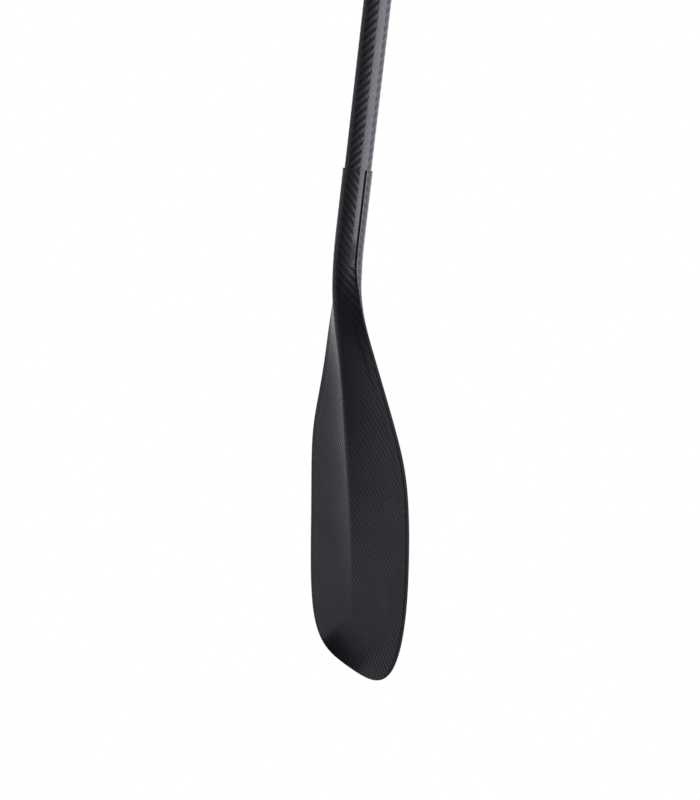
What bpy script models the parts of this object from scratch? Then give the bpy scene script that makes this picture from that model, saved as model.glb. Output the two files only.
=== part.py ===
"""Outrigger canoe paddle: a moulded carbon blade on a bent neck, a straight tube shaft and a palm grip.

The shaft's axis is +Z, the blade's width runs along X and its power face looks towards -Y.
The origin is on the shaft's axis where the grip meets the shaft, and the blade hangs below it.
Lengths are in metres and angles in degrees.

The blade and the grip are each a pair of shells that meet in a parting plane. Their shape is
drawn on rays: lines in that plane that run from the centre line out to the rim. Along the neck
the rays lie square to the centre line, and round the tip they fan out. Each ray carries a section
of the front and one of the back, and the shells, cores and edge band are lofted through these.
"""

import math

import bmesh
import bpy
from mathutils import Vector

# Fits
BOND_LINE = 0.0003

# Shaft
SHAFT_DIAMETER = 0.0286
SHAFT_WALL = 0.0016
SHAFT_VISIBLE = 0.638
SHAFT_SIDES = 32
PLUG_LENGTH = 0.045

# Socket and neck, measured down the centre line from the top of the socket
SOCKET_DEPTH = 0.060
NECK_WALL = 0.0013
NECK_LENGTH = 0.0486
BEND_LENGTH = 0.131
NECK_BEND = 14.2
NECK_CORE_LENGTH = 0.040
NECK_RIM_WIDTH = 0.0002
NECK_SHOULDER_ANGLE = 36
SEAM_GROOVE = 0.00075

# Blade outline
BLADE_WIDTH = 0.2032
SHOULDER_LENGTH = 0.3202
TIP_LENGTH = 0.1482
FLARE_ANGLE = 18.7
SHOULDER_START_PULL = 0.227
SHOULDER_END_PULL = 0.1665
TIP_SIDE_PULL = 0.142
TIP_BOTTOM_PULL = 0.068
SPOON_RADIUS = 1.768

# Blade section
RIDGE_HEIGHT = 0.0148
RIDGE_ROUNDING = 0.0035
BACK_HEIGHT = 0.0045
EDGE_THICKNESS = 0.0050
RIM_WIDTH = 0.0022
RIM_GROOVE = 0.00025
BLADE_SKIN = 0.0009
FAN_REACH = 0.110
FLANK_START_SHARE = 0.30
FLANK_END_SHARE = 0.35
HOLLOW_STEEPNESS = 2.0

# Where the neck's section turns into the blade's, measured on from where the outline flares
RIM_START = -0.0466
RIM_LENGTH = 0.110
RIDGE_START = -0.0386
RIDGE_LENGTH = 0.165
RIDGE_EASE = 1.8
HOLLOW_START = 0.0414
HOLLOW_LENGTH = 0.110
SECTION_CHANGE_START = -0.0078
SECTION_CHANGE_LENGTH = 0.078
SEAM_FADE_START = 0.0164
SEAM_FADE_LENGTH = 0.035
SPINE_BULGE_LENGTH = 0.210
RIDGE_FADE_START = 0.1614

# Inside the blade
SPINE_WIDTH = 0.010
BAND_WIDTH = 0.006
BAND_START_WIDTH = 0.034

# Palm grip
GRIP_WIDTH = 0.108
GRIP_STEM = 0.012
GRIP_WIDEST = 0.046
GRIP_HEIGHT = 0.062
GRIP_FRONT_DEPTH = 0.0145
GRIP_BACK_DEPTH = 0.0160
GRIP_FLARE_PULL = 0.027
GRIP_END_PULL = 0.014
GRIP_CROWN_SIDE_PULL = 0.010
GRIP_CROWN_TOP_PULL = 0.034
GRIP_SQUARENESS = 2.7
GRIP_GROOVE = 0.00025
GRIP_FAN_REACH = 0.010
SPIGOT_IN_SHAFT = 0.060
SPIGOT_IN_GRIP = 0.022
SPIGOT_WALL = 0.0016

# How finely the shapes are drawn
FLANK_STEPS = 6
RIM_STEPS = 4
SHOULDER_ROWS = 20
SHOULDER_CROWDING = 1.2
TIP_ROWS = 11
NECK_ROWS = 4
GRIP_SECTION_STEPS = 8
GRIP_FLARE_ROWS = 6
GRIP_CROWN_ROWS = 6
CURVE_SAMPLES = 400
CENTRE_STEP = 0.001
MERGE = 1e-6
SHARP_ANGLE = 24

SHAFT_RADIUS = SHAFT_DIAMETER / 2
SHAFT_BORE = SHAFT_RADIUS - SHAFT_WALL
SPIGOT_RADIUS = SHAFT_BORE - BOND_LINE
NECK_RADIUS = SHAFT_RADIUS + BOND_LINE + NECK_WALL
HALF_EDGE = EDGE_THICKNESS / 2
FLARE_START = SOCKET_DEPTH + NECK_LENGTH
WIDEST = FLARE_START + SHOULDER_LENGTH
TIP = WIDEST + TIP_LENGTH
SOCKET_TOP = -BOND_LINE - SHAFT_VISIBLE
SHAFT_END = SOCKET_TOP - SOCKET_DEPTH


def mix(first, second, share):
    return first + (second - first) * share


def smooth_step(value, low, high):
    """0 below low, 1 above high, and an even S between them."""
    share = min(max((value - low) / (high - low), 0.0), 1.0)
    return share * share * (3.0 - 2.0 * share)


def between(first, second, share):
    """The point at share of the way from one point to another."""
    return mix(first[0], second[0], share), mix(first[1], second[1], share)


def cubic(start, start_handle, end_handle, end, share):
    """The point at share of the way along a cubic curve."""
    rest = 1.0 - share
    weights = (rest**3, 3 * rest * rest * share, 3 * rest * share * share, share**3)
    points = (start, start_handle, end_handle, end)
    return tuple(sum(w * p[axis] for w, p in zip(weights, points)) for axis in (0, 1))


def spaced(curve, steps, crowding=1.0):
    """Points along a curve, given as a function of 0 to 1. Above 1, crowding draws them to its start."""
    dense = [curve(i / CURVE_SAMPLES) for i in range(CURVE_SAMPLES + 1)]
    lengths = [0.0]
    for before, after in zip(dense, dense[1:]):
        lengths.append(lengths[-1] + math.dist(before, after))
    points = []
    index = 0
    for step in range(steps + 1):
        wanted = lengths[-1] * (step / steps) ** crowding
        while index < CURVE_SAMPLES - 1 and lengths[index + 1] < wanted:
            index += 1
        share = (wanted - lengths[index]) / (lengths[index + 1] - lengths[index])
        points.append(between(dense[index], dense[index + 1], share))
    return points


def height_at(section, distance):
    """The height of a section, drawn as points from crown to rim, at a distance from its crown."""
    for (near, high), (far, low) in zip(section, section[1:]):
        if distance <= far:
            return mix(high, low, (distance - near) / (far - near))
    return section[-1][1]


class Ray:
    """A line in the parting plane from a foot on the centre line out to the rim."""

    def __init__(self, foot, rim):
        self.foot = foot
        self.length = math.hypot(rim[0], rim[1] - foot)
        self.across = rim[0] / self.length
        self.along = (rim[1] - foot) / self.length

    def at(self, distance):
        return self.across * distance, self.foot + self.along * distance


def fanned_foot(rim_place, widest, reach):
    """Where a ray starts: level with its rim down to the widest place, and ever less far beyond it."""
    beyond = max(rim_place - widest, 0.0)
    return min(rim_place, widest) + reach * (1.0 - math.exp(-beyond / reach))


def bend_angle(place):
    """How far the centre line has turned from the shaft's axis: up to NECK_BEND, then back again."""
    bend_end = SOCKET_DEPTH + BEND_LENGTH
    turned = math.radians(NECK_BEND) * smooth_step(place, SOCKET_DEPTH, bend_end)
    return turned - max(place - bend_end, 0.0) / SPOON_RADIUS


def centre_line():
    """The centre line as places (y, z), one every CENTRE_STEP, from the socket's top to past the tip."""
    y, z = 0.0, SOCKET_TOP
    points = [(y, z)]
    for step in range(int(TIP / CENTRE_STEP) + 2):
        angle = bend_angle((step + 0.5) * CENTRE_STEP)
        y += CENTRE_STEP * math.sin(angle)
        z -= CENTRE_STEP * math.cos(angle)
        points.append((y, z))
    return points


CENTRE_LINE = centre_line()


def on_blade(across, place, height):
    """A point of the blade in space. Height is measured from the parting plane to the power side."""
    index = int(place / CENTRE_STEP)
    share = place / CENTRE_STEP - index
    before, after = CENTRE_LINE[index], CENTRE_LINE[index + 1]
    angle = bend_angle(place)
    y = mix(before[0], after[0], share) - height * math.cos(angle)
    z = mix(before[1], after[1], share) - height * math.sin(angle)
    return Vector((across, y, z))


def on_grip(across, place, height):
    """A point of the grip in space. Place is measured up from the shaft."""
    return Vector((across, -height, place))


def shoulder_curve(share):
    flare = math.radians(FLARE_ANGLE)
    pull = SHOULDER_START_PULL
    start = (NECK_RADIUS, FLARE_START)
    start_handle = (NECK_RADIUS + pull * math.sin(flare), FLARE_START + pull * math.cos(flare))
    end = (BLADE_WIDTH / 2, WIDEST)
    end_handle = (BLADE_WIDTH / 2, WIDEST - SHOULDER_END_PULL)
    return cubic(start, start_handle, end_handle, end, share)


def tip_curve(share):
    start = (BLADE_WIDTH / 2, WIDEST)
    start_handle = (BLADE_WIDTH / 2, WIDEST + TIP_SIDE_PULL)
    end_handle = (TIP_BOTTOM_PULL, TIP)
    return cubic(start, start_handle, end_handle, (0.0, TIP), share)


def neck_ray(place):
    return Ray(place, (NECK_RADIUS, place))


def blade_rays(first_place):
    """The blade's rays from a place on the neck to the tip."""
    stations = [0.0, SOCKET_DEPTH / 2, SOCKET_DEPTH]
    stations += [mix(SOCKET_DEPTH, FLARE_START, i / NECK_ROWS) for i in range(1, NECK_ROWS)]
    rays = [neck_ray(first_place)]
    rays += [neck_ray(place) for place in stations if place > first_place + BOND_LINE]
    rim = spaced(shoulder_curve, SHOULDER_ROWS, SHOULDER_CROWDING)
    rim += spaced(tip_curve, TIP_ROWS)[1:]
    rays += [Ray(fanned_foot(point[1], WIDEST, FAN_REACH), point) for point in rim]
    return rays


def change(ray, start, length):
    """0 above a place past the start of the flare, 1 once a length further down."""
    return smooth_step(ray.foot, FLARE_START + start, FLARE_START + start + length)


def blade_share(ray):
    """0 where the section is the round neck's, 1 where it is the blade's."""
    return change(ray, SECTION_CHANGE_START, SECTION_CHANGE_LENGTH)


def front_crown(ray):
    fading = 1.0 - smooth_step(ray.foot, FLARE_START + RIDGE_FADE_START, TIP)
    rising = (NECK_RADIUS - RIDGE_HEIGHT) * (1.0 - blade_share(ray))
    return HALF_EDGE + (RIDGE_HEIGHT - HALF_EDGE) * fading + rising


def back_crown(ray):
    bulge = 1.0 - change(ray, 0.0, SPINE_BULGE_LENGTH)
    fading = 1.0 - smooth_step(ray.foot, FLARE_START + SPINE_BULGE_LENGTH, TIP)
    rising = (NECK_RADIUS - BACK_HEIGHT) * bulge
    return HALF_EDGE + (BACK_HEIGHT - HALF_EDGE) * fading + rising


def rim_point(ray, width, angle):
    """A point of the rounded rim: 0 is outermost, and a right angle is where a level flank ends."""
    return ray.length - width + width * math.cos(angle), HALF_EDGE * math.sin(angle)


def ridge_rounding(crown, end, blunt):
    """The radius over the ridge. Blunt 1 gives an arc that runs from the crown right to end."""
    rise = max(crown - end[1], MERGE)
    widest = (end[0] ** 2 + rise**2) / (2.0 * rise)
    return min(mix(RIDGE_ROUNDING, widest, blunt), widest, crown)


def flank_slope(crown, rounding, end):
    """The slope of a straight flank that touches the arc over the ridge and ends at a point."""
    centre = crown - rounding
    reach = math.hypot(end[0], centre - end[1])
    return math.asin(min(rounding / reach, 1.0)) + math.atan2(centre - end[1], end[0])


def front_section(ray):
    """The power side's section as (distance, height) points from the crown to the parting plane.

    An arc over the ridge runs into a flank and then a rounded rim. On the neck the arc is nearly
    all of it. Down the blade the arc shrinks to a crisp ridge and the flank turns hollow.
    """
    crown = front_crown(ray)
    blunt = (1.0 - change(ray, RIDGE_START, RIDGE_LENGTH)) ** RIDGE_EASE
    hollow = change(ray, HOLLOW_START, HOLLOW_LENGTH)
    rim_width = mix(NECK_RIM_WIDTH, RIM_WIDTH, change(ray, RIM_START, RIM_LENGTH))
    level_end = rim_point(ray, rim_width, math.pi / 2)
    rounding = ridge_rounding(crown, level_end, blunt)
    end_slope = (1.0 - hollow) * flank_slope(crown, rounding, level_end)
    rim_angle = math.atan2(HALF_EDGE * math.cos(end_slope), rim_width * math.sin(end_slope))
    end = rim_point(ray, rim_width, rim_angle)
    rounding = ridge_rounding(crown, end, blunt)
    hollow_slope = math.atan(HOLLOW_STEEPNESS * (crown - end[1]) / end[0])
    slope = mix(flank_slope(crown, rounding, end), hollow_slope, hollow)
    start = (rounding * math.sin(slope), crown - rounding * (1.0 - math.cos(slope)))
    lead = FLANK_START_SHARE * math.dist(start, end)
    tail = FLANK_END_SHARE * math.dist(start, end)
    start_handle = (start[0] + lead * math.cos(slope), start[1] - lead * math.sin(slope))
    end_handle = (end[0] - tail * math.cos(end_slope), end[1] + tail * math.sin(end_slope))

    def face(share):
        """The arc over the ridge up to a share of a half, and the flank from there."""
        if share > 0.5:
            return cubic(start, start_handle, end_handle, end, 2.0 * share - 1.0)
        angle = 2.0 * share * slope
        return rounding * math.sin(angle), crown - rounding * (1.0 - math.cos(angle))

    points = spaced(face, FLANK_STEPS)
    for step in range(1, RIM_STEPS):
        points.append(rim_point(ray, rim_width, rim_angle * (1.0 - step / RIM_STEPS)))
    return points + [(ray.length, BOND_LINE / 2)]


def back_section(ray):
    """The back's section: a quarter ellipse on the neck, and on the blade a soft bulge with a rim."""
    share = blade_share(ray)
    crown = back_crown(ray)
    shoulder_angle = math.radians(NECK_SHOULDER_ANGLE)
    flank_end = rim_point(ray, RIM_WIDTH, math.pi / 2)
    start_handle = (FLANK_START_SHARE * flank_end[0], crown)
    end_handle = ((1.0 - FLANK_END_SHARE) * flank_end[0], HALF_EDGE)

    def on_neck(angle):
        return ray.length * math.cos(angle), crown * math.sin(angle)

    points = []
    for step in range(FLANK_STEPS):
        part = step / FLANK_STEPS
        angle = mix(math.pi / 2, shoulder_angle, part)
        flank = cubic((0.0, crown), start_handle, end_handle, flank_end, part)
        points.append(between(on_neck(angle), flank, share))
    for step in range(RIM_STEPS):
        left = 1.0 - step / RIM_STEPS
        rim = rim_point(ray, RIM_WIDTH, left * math.pi / 2)
        points.append(between(on_neck(left * shoulder_angle), rim, share))
    return points + [(ray.length, BOND_LINE / 2)]


def grip_curve_up(share):
    start = (SHAFT_RADIUS, GRIP_STEM)
    start_handle = (SHAFT_RADIUS, GRIP_STEM + GRIP_FLARE_PULL)
    end = (GRIP_WIDTH / 2, GRIP_WIDEST)
    end_handle = (GRIP_WIDTH / 2, GRIP_WIDEST - GRIP_END_PULL)
    return cubic(start, start_handle, end_handle, end, share)


def grip_curve_over(share):
    start = (GRIP_WIDTH / 2, GRIP_WIDEST)
    start_handle = (GRIP_WIDTH / 2, GRIP_WIDEST + GRIP_CROWN_SIDE_PULL)
    end_handle = (GRIP_CROWN_TOP_PULL, GRIP_HEIGHT)
    return cubic(start, start_handle, end_handle, (0.0, GRIP_HEIGHT), share)


def grip_rays(first_place):
    """The grip's rays from a place above the shaft to the middle of the crown."""
    stem = [place for place in (0.0, GRIP_STEM / 2) if place >= first_place]
    rays = [Ray(place, (SHAFT_RADIUS, place)) for place in stem]
    rim = spaced(grip_curve_up, GRIP_FLARE_ROWS)
    rim += spaced(grip_curve_over, GRIP_CROWN_ROWS)[1:]
    rim = [point for point in rim if point[1] >= first_place]
    rays += [Ray(fanned_foot(point[1], GRIP_WIDEST, GRIP_FAN_REACH), point) for point in rim]
    return rays


def grip_section(ray, depth):
    """One side of the grip: round at the stem, and a squarer oval where the palm rests."""
    crown = mix(SHAFT_RADIUS, depth, smooth_step(ray.foot, SPIGOT_IN_GRIP, GRIP_WIDEST))
    power = 2.0 / mix(2.0, GRIP_SQUARENESS, smooth_step(ray.foot, 0.0, GRIP_WIDEST))
    points = []
    for step in range(GRIP_SECTION_STEPS + 1):
        angle = math.pi / 2 * (1.0 - step / GRIP_SECTION_STEPS)
        distance = ray.length * max(math.cos(angle), 0.0) ** power
        points.append((distance, crown * math.sin(angle) ** power))
    points[0] = (0.0, crown)
    points[-1] = (ray.length, BOND_LINE / 2)
    return points


def grip_front_section(ray):
    return grip_section(ray, GRIP_FRONT_DEPTH)


def grip_back_section(ray):
    return grip_section(ray, GRIP_BACK_DEPTH)


def inset(section, depth):
    """A section moved inwards, square to itself."""
    moved = []
    for index, (distance, height) in enumerate(section):
        if index == 0:
            across, up = 0.0, 1.0
        elif index == len(section) - 1:
            across, up = 1.0, 0.0
        else:
            run = section[index + 1][0] - section[index - 1][0]
            drop = section[index - 1][1] - section[index + 1][1]
            size = math.hypot(run, drop)
            across, up = drop / size, run / size
        moved.append((distance - depth * across, height - depth * up))
    return moved


def grooved(section, groove):
    """The section with its edge at the parting plane cut back, so that the seam is a fine V."""
    rim_distance = section[-1][0]
    level = groove + BOND_LINE / 2
    kept = [point for point in section if point[1] > level + BOND_LINE]
    above = kept[-1]
    shoulder = between(above, section[-1], (above[1] - level) / (above[1] - section[-1][1]))
    shoulders = [shoulder] * (len(section) - len(kept))
    return kept + shoulders + [(rim_distance - groove, BOND_LINE / 2)]


def both_halves(points):
    """Points from crown to rim, mirrored: from the left rim over the crown to the right rim."""
    left = [(-across, place, height) for across, place, height in reversed(points[1:])]
    return left + points


def on_ray(ray, section, side):
    """A section's points as (across, place, height), with side 1 to the front and -1 to the back."""
    return [(*ray.at(distance), side * height) for distance, height in section]


def shell_loop(ray, section, wall, groove, side):
    outer = both_halves(on_ray(ray, grooved(section, groove), side))
    inner = both_halves(on_ray(ray, inset(section, wall), side))
    return outer + inner[::-1]


def clipped(section, reach):
    """The section cut off at reach, with its last point repeated to keep their number."""
    kept = [point for point in section if point[0] < reach]
    end = (reach, height_at(section, reach))
    return kept + [end] * (len(section) - len(kept))


def filling_loop(ray, front, back, reach):
    """A closed section between the two shells, out to reach."""
    top = both_halves(on_ray(ray, clipped(front, reach), 1))
    bottom = both_halves(on_ray(ray, clipped(back, reach), -1))
    return top + bottom[::-1]


def loft(loops, place, ends):
    """A closed mesh through the loops. ends says which of its ends, 0 and -1, are capped flat.

    Its warped quads are split along their shorter diagonal, so that two surfaces a bond line apart
    fold the same way.
    """
    bm = bmesh.new()
    rings = []
    for loop in loops:
        corners = [bm.verts.new(place(*point)) for point in loop]
        rings.append([bm.edges.new((corners[i - 1], corners[i])) for i in range(len(corners))])
    for before, after in zip(rings, rings[1:]):
        bmesh.ops.bridge_loops(bm, edges=before + after)
    for end in ends:
        bmesh.ops.contextual_create(bm, geom=rings[end])
    bmesh.ops.remove_doubles(bm, verts=bm.verts, dist=MERGE)
    bmesh.ops.triangulate(bm, faces=bm.faces[:], quad_method="SHORT_EDGE")
    bmesh.ops.recalc_face_normals(bm, faces=bm.faces)
    return bm


def keep_side(bm, position, normal):
    """Cuts with a plane, keeps what lies behind it and closes the cut."""
    everything = bm.verts[:] + bm.edges[:] + bm.faces[:]
    bmesh.ops.bisect_plane(
        bm,
        geom=everything,
        dist=MERGE,
        plane_co=position,
        plane_no=normal,
        clear_outer=True,
    )
    open_edges = [edge for edge in bm.edges if edge.is_boundary]
    bmesh.ops.edgeloop_fill(bm, edges=open_edges)


def turned(profile):
    """A closed mesh turned from (radius, height) points round the shaft's axis."""
    bm = bmesh.new()
    corners = [bm.verts.new((radius, 0.0, height)) for radius, height in profile]
    edges = [bm.edges.new((corners[i - 1], corners[i])) for i in range(len(corners))]
    bmesh.ops.spin(
        bm,
        geom=corners + edges,
        cent=(0.0, 0.0, 0.0),
        axis=(0.0, 0.0, 1.0),
        angle=math.tau,
        steps=SHAFT_SIDES,
        use_merge=True,
    )
    bmesh.ops.remove_doubles(bm, verts=bm.verts, dist=MERGE)
    bmesh.ops.recalc_face_normals(bm, faces=bm.faces)
    return bm


def tube(radius, wall, low, high):
    bore = radius - wall
    return turned([(bore, low), (radius, low), (radius, high), (bore, high)])


def finish_material(name, color, roughness):
    material = bpy.data.materials.new(name)
    material.use_nodes = True
    shader = material.node_tree.nodes["Principled BSDF"]
    shader.inputs["Base Color"].default_value = (*color, 1.0)
    shader.inputs["Roughness"].default_value = roughness
    shader.inputs["Metallic"].default_value = 0.0
    material.diffuse_color = (*color, 1.0)
    return material


def add_part(name, bm, color, roughness):
    mesh = bpy.data.meshes.new(name)
    bm.to_mesh(mesh)
    bm.free()
    mesh.shade_smooth()
    mesh.set_sharp_from_angle(angle=math.radians(SHARP_ANGLE))
    mesh.materials.append(finish_material(name, color, roughness))
    part = bpy.data.objects.new(name, mesh)
    bpy.context.collection.objects.link(part)
    return part


CARBON = (0.012, 0.012, 0.014)
TUBE_CARBON = (0.014, 0.014, 0.016)
FOAM = (0.75, 0.70, 0.52)
STRINGER = (0.45, 0.30, 0.16)
EDGE_RESIN = (0.03, 0.03, 0.03)


def blade_wall(ray):
    return mix(NECK_WALL, BLADE_SKIN, blade_share(ray))


def blade_shell(name, section_of, side):
    loops = []
    for ray in blade_rays(0.0):
        groove = mix(SEAM_GROOVE, RIM_GROOVE, change(ray, SEAM_FADE_START, SEAM_FADE_LENGTH))
        loops.append(shell_loop(ray, section_of(ray), blade_wall(ray), groove, side))
    return add_part(name, loft(loops, on_blade, (0,)), CARBON, 0.42)


def has_band(ray):
    return ray.foot > FLARE_START and ray.length > BAND_START_WIDTH


def inner_sections(ray):
    depth = blade_wall(ray) + BOND_LINE
    return inset(front_section(ray), depth), inset(back_section(ray), depth)


def neck_core():
    start = SOCKET_DEPTH + BOND_LINE
    end = SOCKET_DEPTH + NECK_CORE_LENGTH
    loops = []
    for step in range(NECK_ROWS + 1):
        ray = neck_ray(mix(start, end, step / NECK_ROWS))
        front, back = inner_sections(ray)
        loops.append(filling_loop(ray, front, back, front[-1][0]))
    return add_part("neck_core", loft(loops, on_blade, (0, -1)), FOAM, 0.9)


def blade_filling():
    """Everything between the two shells from the neck core to the edge band, as one body."""
    loops = []
    for ray in blade_rays(SOCKET_DEPTH + NECK_CORE_LENGTH + BOND_LINE):
        front, back = inner_sections(ray)
        reach = front[-1][0]
        if has_band(ray):
            reach -= BAND_WIDTH + BOND_LINE
        loops.append(filling_loop(ray, front, back, reach))
    return loft(loops, on_blade, (0,))


def blade_core(name, side):
    core = blade_filling()
    keep_side(core, (side * (SPINE_WIDTH / 2 + BOND_LINE), 0.0, 0.0), (-side, 0.0, 0.0))
    return add_part(name, core, FOAM, 0.9)


def blade_spine():
    spine = blade_filling()
    for side in (1, -1):
        keep_side(spine, (side * SPINE_WIDTH / 2, 0.0, 0.0), (side, 0.0, 0.0))
    return add_part("blade_spine", spine, STRINGER, 0.7)


def band_loop(ray, side):
    """The edge band's section on the right side's ray, or with side -1 on the left one's."""
    front, back = inner_sections(ray)
    inner_edge = front[-1][0] - BAND_WIDTH
    loop = []
    for section, face in ((front, 1), (back, -1)):
        inner_point = (inner_edge, height_at(section, inner_edge))
        points = on_ray(ray, [inner_point] + section[FLANK_STEPS:], face)
        loop += points if face == 1 else points[::-1]
    return [(side * across, place, height) for across, place, height in loop]


def edge_band():
    rays = [ray for ray in blade_rays(0.0) if has_band(ray)]
    right = [band_loop(ray, 1) for ray in rays]
    left = [band_loop(ray, -1) for ray in rays[:-1]]
    return add_part("edge_band", loft(right + left[::-1], on_blade, (0, -1)), EDGE_RESIN, 0.5)


def grip_shell(name, section_of, side):
    rays = grip_rays(0.0)
    loops = [shell_loop(ray, section_of(ray), SHAFT_WALL, GRIP_GROOVE, side) for ray in rays]
    return add_part(name, loft(loops, on_grip, (0,)), CARBON, 0.42)


def grip_core():
    depth = SHAFT_WALL + BOND_LINE
    loops = []
    for ray in grip_rays(SPIGOT_IN_GRIP + BOND_LINE):
        front = inset(grip_front_section(ray), depth)
        back = inset(grip_back_section(ray), depth)
        loops.append(filling_loop(ray, front, back, front[-1][0]))
    return add_part("grip_core", loft(loops, on_grip, (0,)), FOAM, 0.9)


def shaft_tube():
    body = tube(SHAFT_RADIUS, SHAFT_WALL, SHAFT_END, -BOND_LINE)
    return add_part("shaft_tube", body, TUBE_CARBON, 0.38)


def shaft_plug():
    top = SHAFT_END + PLUG_LENGTH
    body = turned([(0.0, SHAFT_END), (SPIGOT_RADIUS, SHAFT_END), (SPIGOT_RADIUS, top), (0.0, top)])
    return add_part("shaft_plug", body, FOAM, 0.9)


def grip_spigot():
    body = tube(SPIGOT_RADIUS, SPIGOT_WALL, -SPIGOT_IN_SHAFT, SPIGOT_IN_GRIP)
    return add_part("grip_spigot", body, TUBE_CARBON, 0.5)


def main():
    for old in list(bpy.data.objects):
        bpy.data.objects.remove(old)
    shaft_tube()
    shaft_plug()
    blade_shell("power_face_shell", front_section, 1)
    blade_shell("back_face_shell", back_section, -1)
    neck_core()
    blade_core("blade_core_right", 1)
    blade_core("blade_core_left", -1)
    blade_spine()
    edge_band()
    grip_shell("grip_front_shell", grip_front_section, 1)
    grip_shell("grip_back_shell", grip_back_section, -1)
    grip_core()
    grip_spigot()


main()
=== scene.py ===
"""Outrigger canoe paddle in satin carbon twill: ridged blade, bent neck, tube shaft and palm grip.

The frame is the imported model's: +Z runs up the shaft, the blade's width lies along X and its power
face looks towards -Y. Lengths are in metres and angles in degrees, unless a name says otherwise.

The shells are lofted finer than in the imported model, through much the same sections. Each has a UV
map in metres that lays its cloth flat, so the weave keeps its size and runs on round every curve.
"""

import math

import bmesh
import bpy
from mathutils import Matrix, Vector


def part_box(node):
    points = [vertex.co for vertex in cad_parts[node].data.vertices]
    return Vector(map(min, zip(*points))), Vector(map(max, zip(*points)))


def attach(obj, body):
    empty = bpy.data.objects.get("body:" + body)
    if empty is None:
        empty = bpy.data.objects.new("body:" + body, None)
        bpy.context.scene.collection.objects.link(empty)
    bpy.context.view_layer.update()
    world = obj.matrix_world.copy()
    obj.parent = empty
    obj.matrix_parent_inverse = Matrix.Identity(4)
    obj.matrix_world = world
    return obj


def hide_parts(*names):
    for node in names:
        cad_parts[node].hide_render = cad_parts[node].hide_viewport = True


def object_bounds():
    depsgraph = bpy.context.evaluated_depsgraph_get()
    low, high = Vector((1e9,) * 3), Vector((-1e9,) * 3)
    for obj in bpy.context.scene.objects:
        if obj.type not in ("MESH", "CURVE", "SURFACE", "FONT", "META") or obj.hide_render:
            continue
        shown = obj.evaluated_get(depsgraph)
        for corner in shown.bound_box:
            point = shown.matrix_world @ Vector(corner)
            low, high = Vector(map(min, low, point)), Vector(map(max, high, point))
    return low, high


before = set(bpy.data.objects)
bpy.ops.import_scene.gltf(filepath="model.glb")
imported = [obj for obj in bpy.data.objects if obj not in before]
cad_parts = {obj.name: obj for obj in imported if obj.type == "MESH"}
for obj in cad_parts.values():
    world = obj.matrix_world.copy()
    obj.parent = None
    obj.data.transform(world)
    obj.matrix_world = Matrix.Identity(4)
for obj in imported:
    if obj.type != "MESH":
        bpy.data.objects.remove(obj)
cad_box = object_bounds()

# Fits and walls
BOND_LINE = 0.0003
GLUED_GAP = 0.00004
SHAFT_WALL = 0.0016
NECK_WALL = 0.0013
BLADE_SKIN = 0.0009

# Neck, measured down the centre line from the top of the socket
SOCKET_DEPTH = 0.060
NECK_LENGTH = 0.0486
BEND_LENGTH = 0.131
NECK_BEND = 14.2
SEAM_HALF_WIDTH = 0.0014
SEAM_DEPTH = 0.0012

# Blade outline
BLADE_WIDTH = 0.2032
SHOULDER_LENGTH = 0.3202
TIP_LENGTH = 0.1482
FLARE_ANGLE = 18.7
CORNER_REACH = 0.018
SHOULDER_START_PULL = 0.227
SHOULDER_END_PULL = 0.1665
TIP_SIDE_PULL = 0.142
TIP_BOTTOM_PULL = 0.068
SPOON_RADIUS = 1.768

# Blade section
RIDGE_HEIGHT = 0.0148
RIDGE_ROUNDING = 0.0035
BACK_HEIGHT = 0.0045
EDGE_THICKNESS = 0.0050
RIM_WIDTH = 0.0022
RIM_SEAM = 0.00025
NECK_RIM_WIDTH = 0.0002
NECK_RIM_HEIGHT = 0.0011
NECK_SHOULDER_ANGLE = 36
FAN_REACH = 0.110
FLANK_START_SHARE = 0.30
FLANK_END_SHARE = 0.35
HOLLOW_STEEPNESS = 2.0
HOLLOW_TIP_STEEPNESS = 2.9

# Where the neck's section turns into the blade's, measured on from where the outline flares
RIM_START = -0.0466
RIM_LENGTH = 0.110
RIM_RISE_START = 0.030
RIM_RISE_LENGTH = 0.060
RIDGE_START = -0.0386
RIDGE_LENGTH = 0.165
RIDGE_EASE = 1.4
HOLLOW_START = 0.0414
HOLLOW_LENGTH = 0.110
SECTION_CHANGE_START = -0.0078
SECTION_CHANGE_LENGTH = 0.078
SEAM_FADE_START = 0.0164
SEAM_FADE_LENGTH = 0.035
SPINE_BULGE_LENGTH = 0.210
RIDGE_FADE_START = 0.1614
STEEPENING_START = 0.12
STEEPENING_LENGTH = 0.22

# Edge strip: where the cores end, the skins drop to the solid edge
STRIP_WIDTH = 0.0095
STRIP_SLOPE_WIDTH = 0.0065
STRIP_DROP = 0.00025

# Palm grip
GRIP_WIDTH = 0.108
GRIP_STEM = 0.012
GRIP_WIDEST = 0.046
GRIP_HEIGHT = 0.062
GRIP_FRONT_DEPTH = 0.0145
GRIP_BACK_DEPTH = 0.0160
GRIP_FLARE_PULL = 0.027
GRIP_END_PULL = 0.014
GRIP_CROWN_SIDE_PULL = 0.010
GRIP_CROWN_TOP_PULL = 0.034
GRIP_SQUARENESS = 2.7
GRIP_SEAM = 0.00025
GRIP_FAN_REACH = 0.010
SPIGOT_IN_GRIP = 0.022

# How finely the shapes are drawn
SECTION_STEPS = 40
SECTION_CROWDING = 1.7
RIM_STEPS = 5
DENSE_STEPS = 160
NECK_ROWS = 36
SHOULDER_ROWS = 84
TIP_ROWS = 60
GRIP_STEM_ROWS = 5
GRIP_FLARE_ROWS = 30
GRIP_CROWN_ROWS = 44
SHAFT_SIDES = 128
CURVE_SAMPLES = 1200
CENTRE_STEP = 0.0005
END_CHAMFER = 0.00025
MERGE = 1e-6
SHARP_ANGLE = 35

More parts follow.
